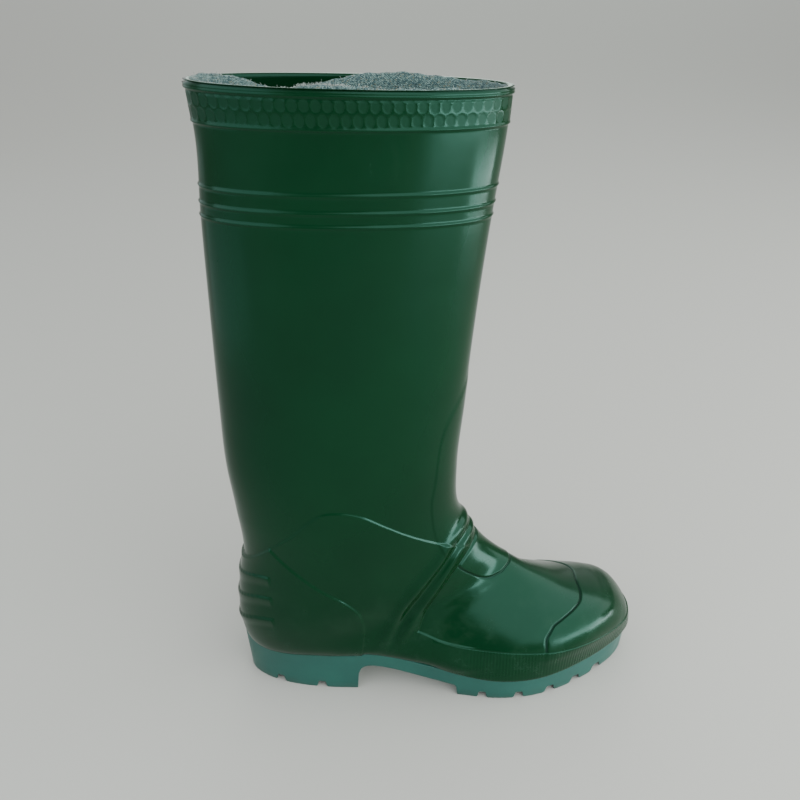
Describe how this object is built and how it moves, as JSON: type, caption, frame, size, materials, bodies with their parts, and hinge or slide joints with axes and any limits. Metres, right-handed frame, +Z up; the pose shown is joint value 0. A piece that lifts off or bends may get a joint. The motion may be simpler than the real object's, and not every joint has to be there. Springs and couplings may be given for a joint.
{
  "type": "rain boot",
  "caption": "Tall moulded rain boot for the right foot: dark green leg and vamp with ribs and a toe cap, paler cleated sole, knitted sock lining and a loose insole.",
  "frame": {"origin": "on the floor, in the middle of the boot's bounding box seen from above", "axes": "+X to the toe, +Y to the inner (medial) side of the foot, +Z up the leg"},
  "size_m": [0.2877, 0.0981, 0.4119],
  "materials": {
    "upper": "glossy moulded PVC, very dark green",
    "outsole": "satin moulded PVC compound, pale blue-green",
    "lining": "light grey flecked weft knit",
    "insole": "grey felt-faced foam"
  },
  "bodies": {
    "root": {"upper": "upper", "outsole": "outsole", "lining": "lining", "insole": "insole"}
  },
  "joints": []
}
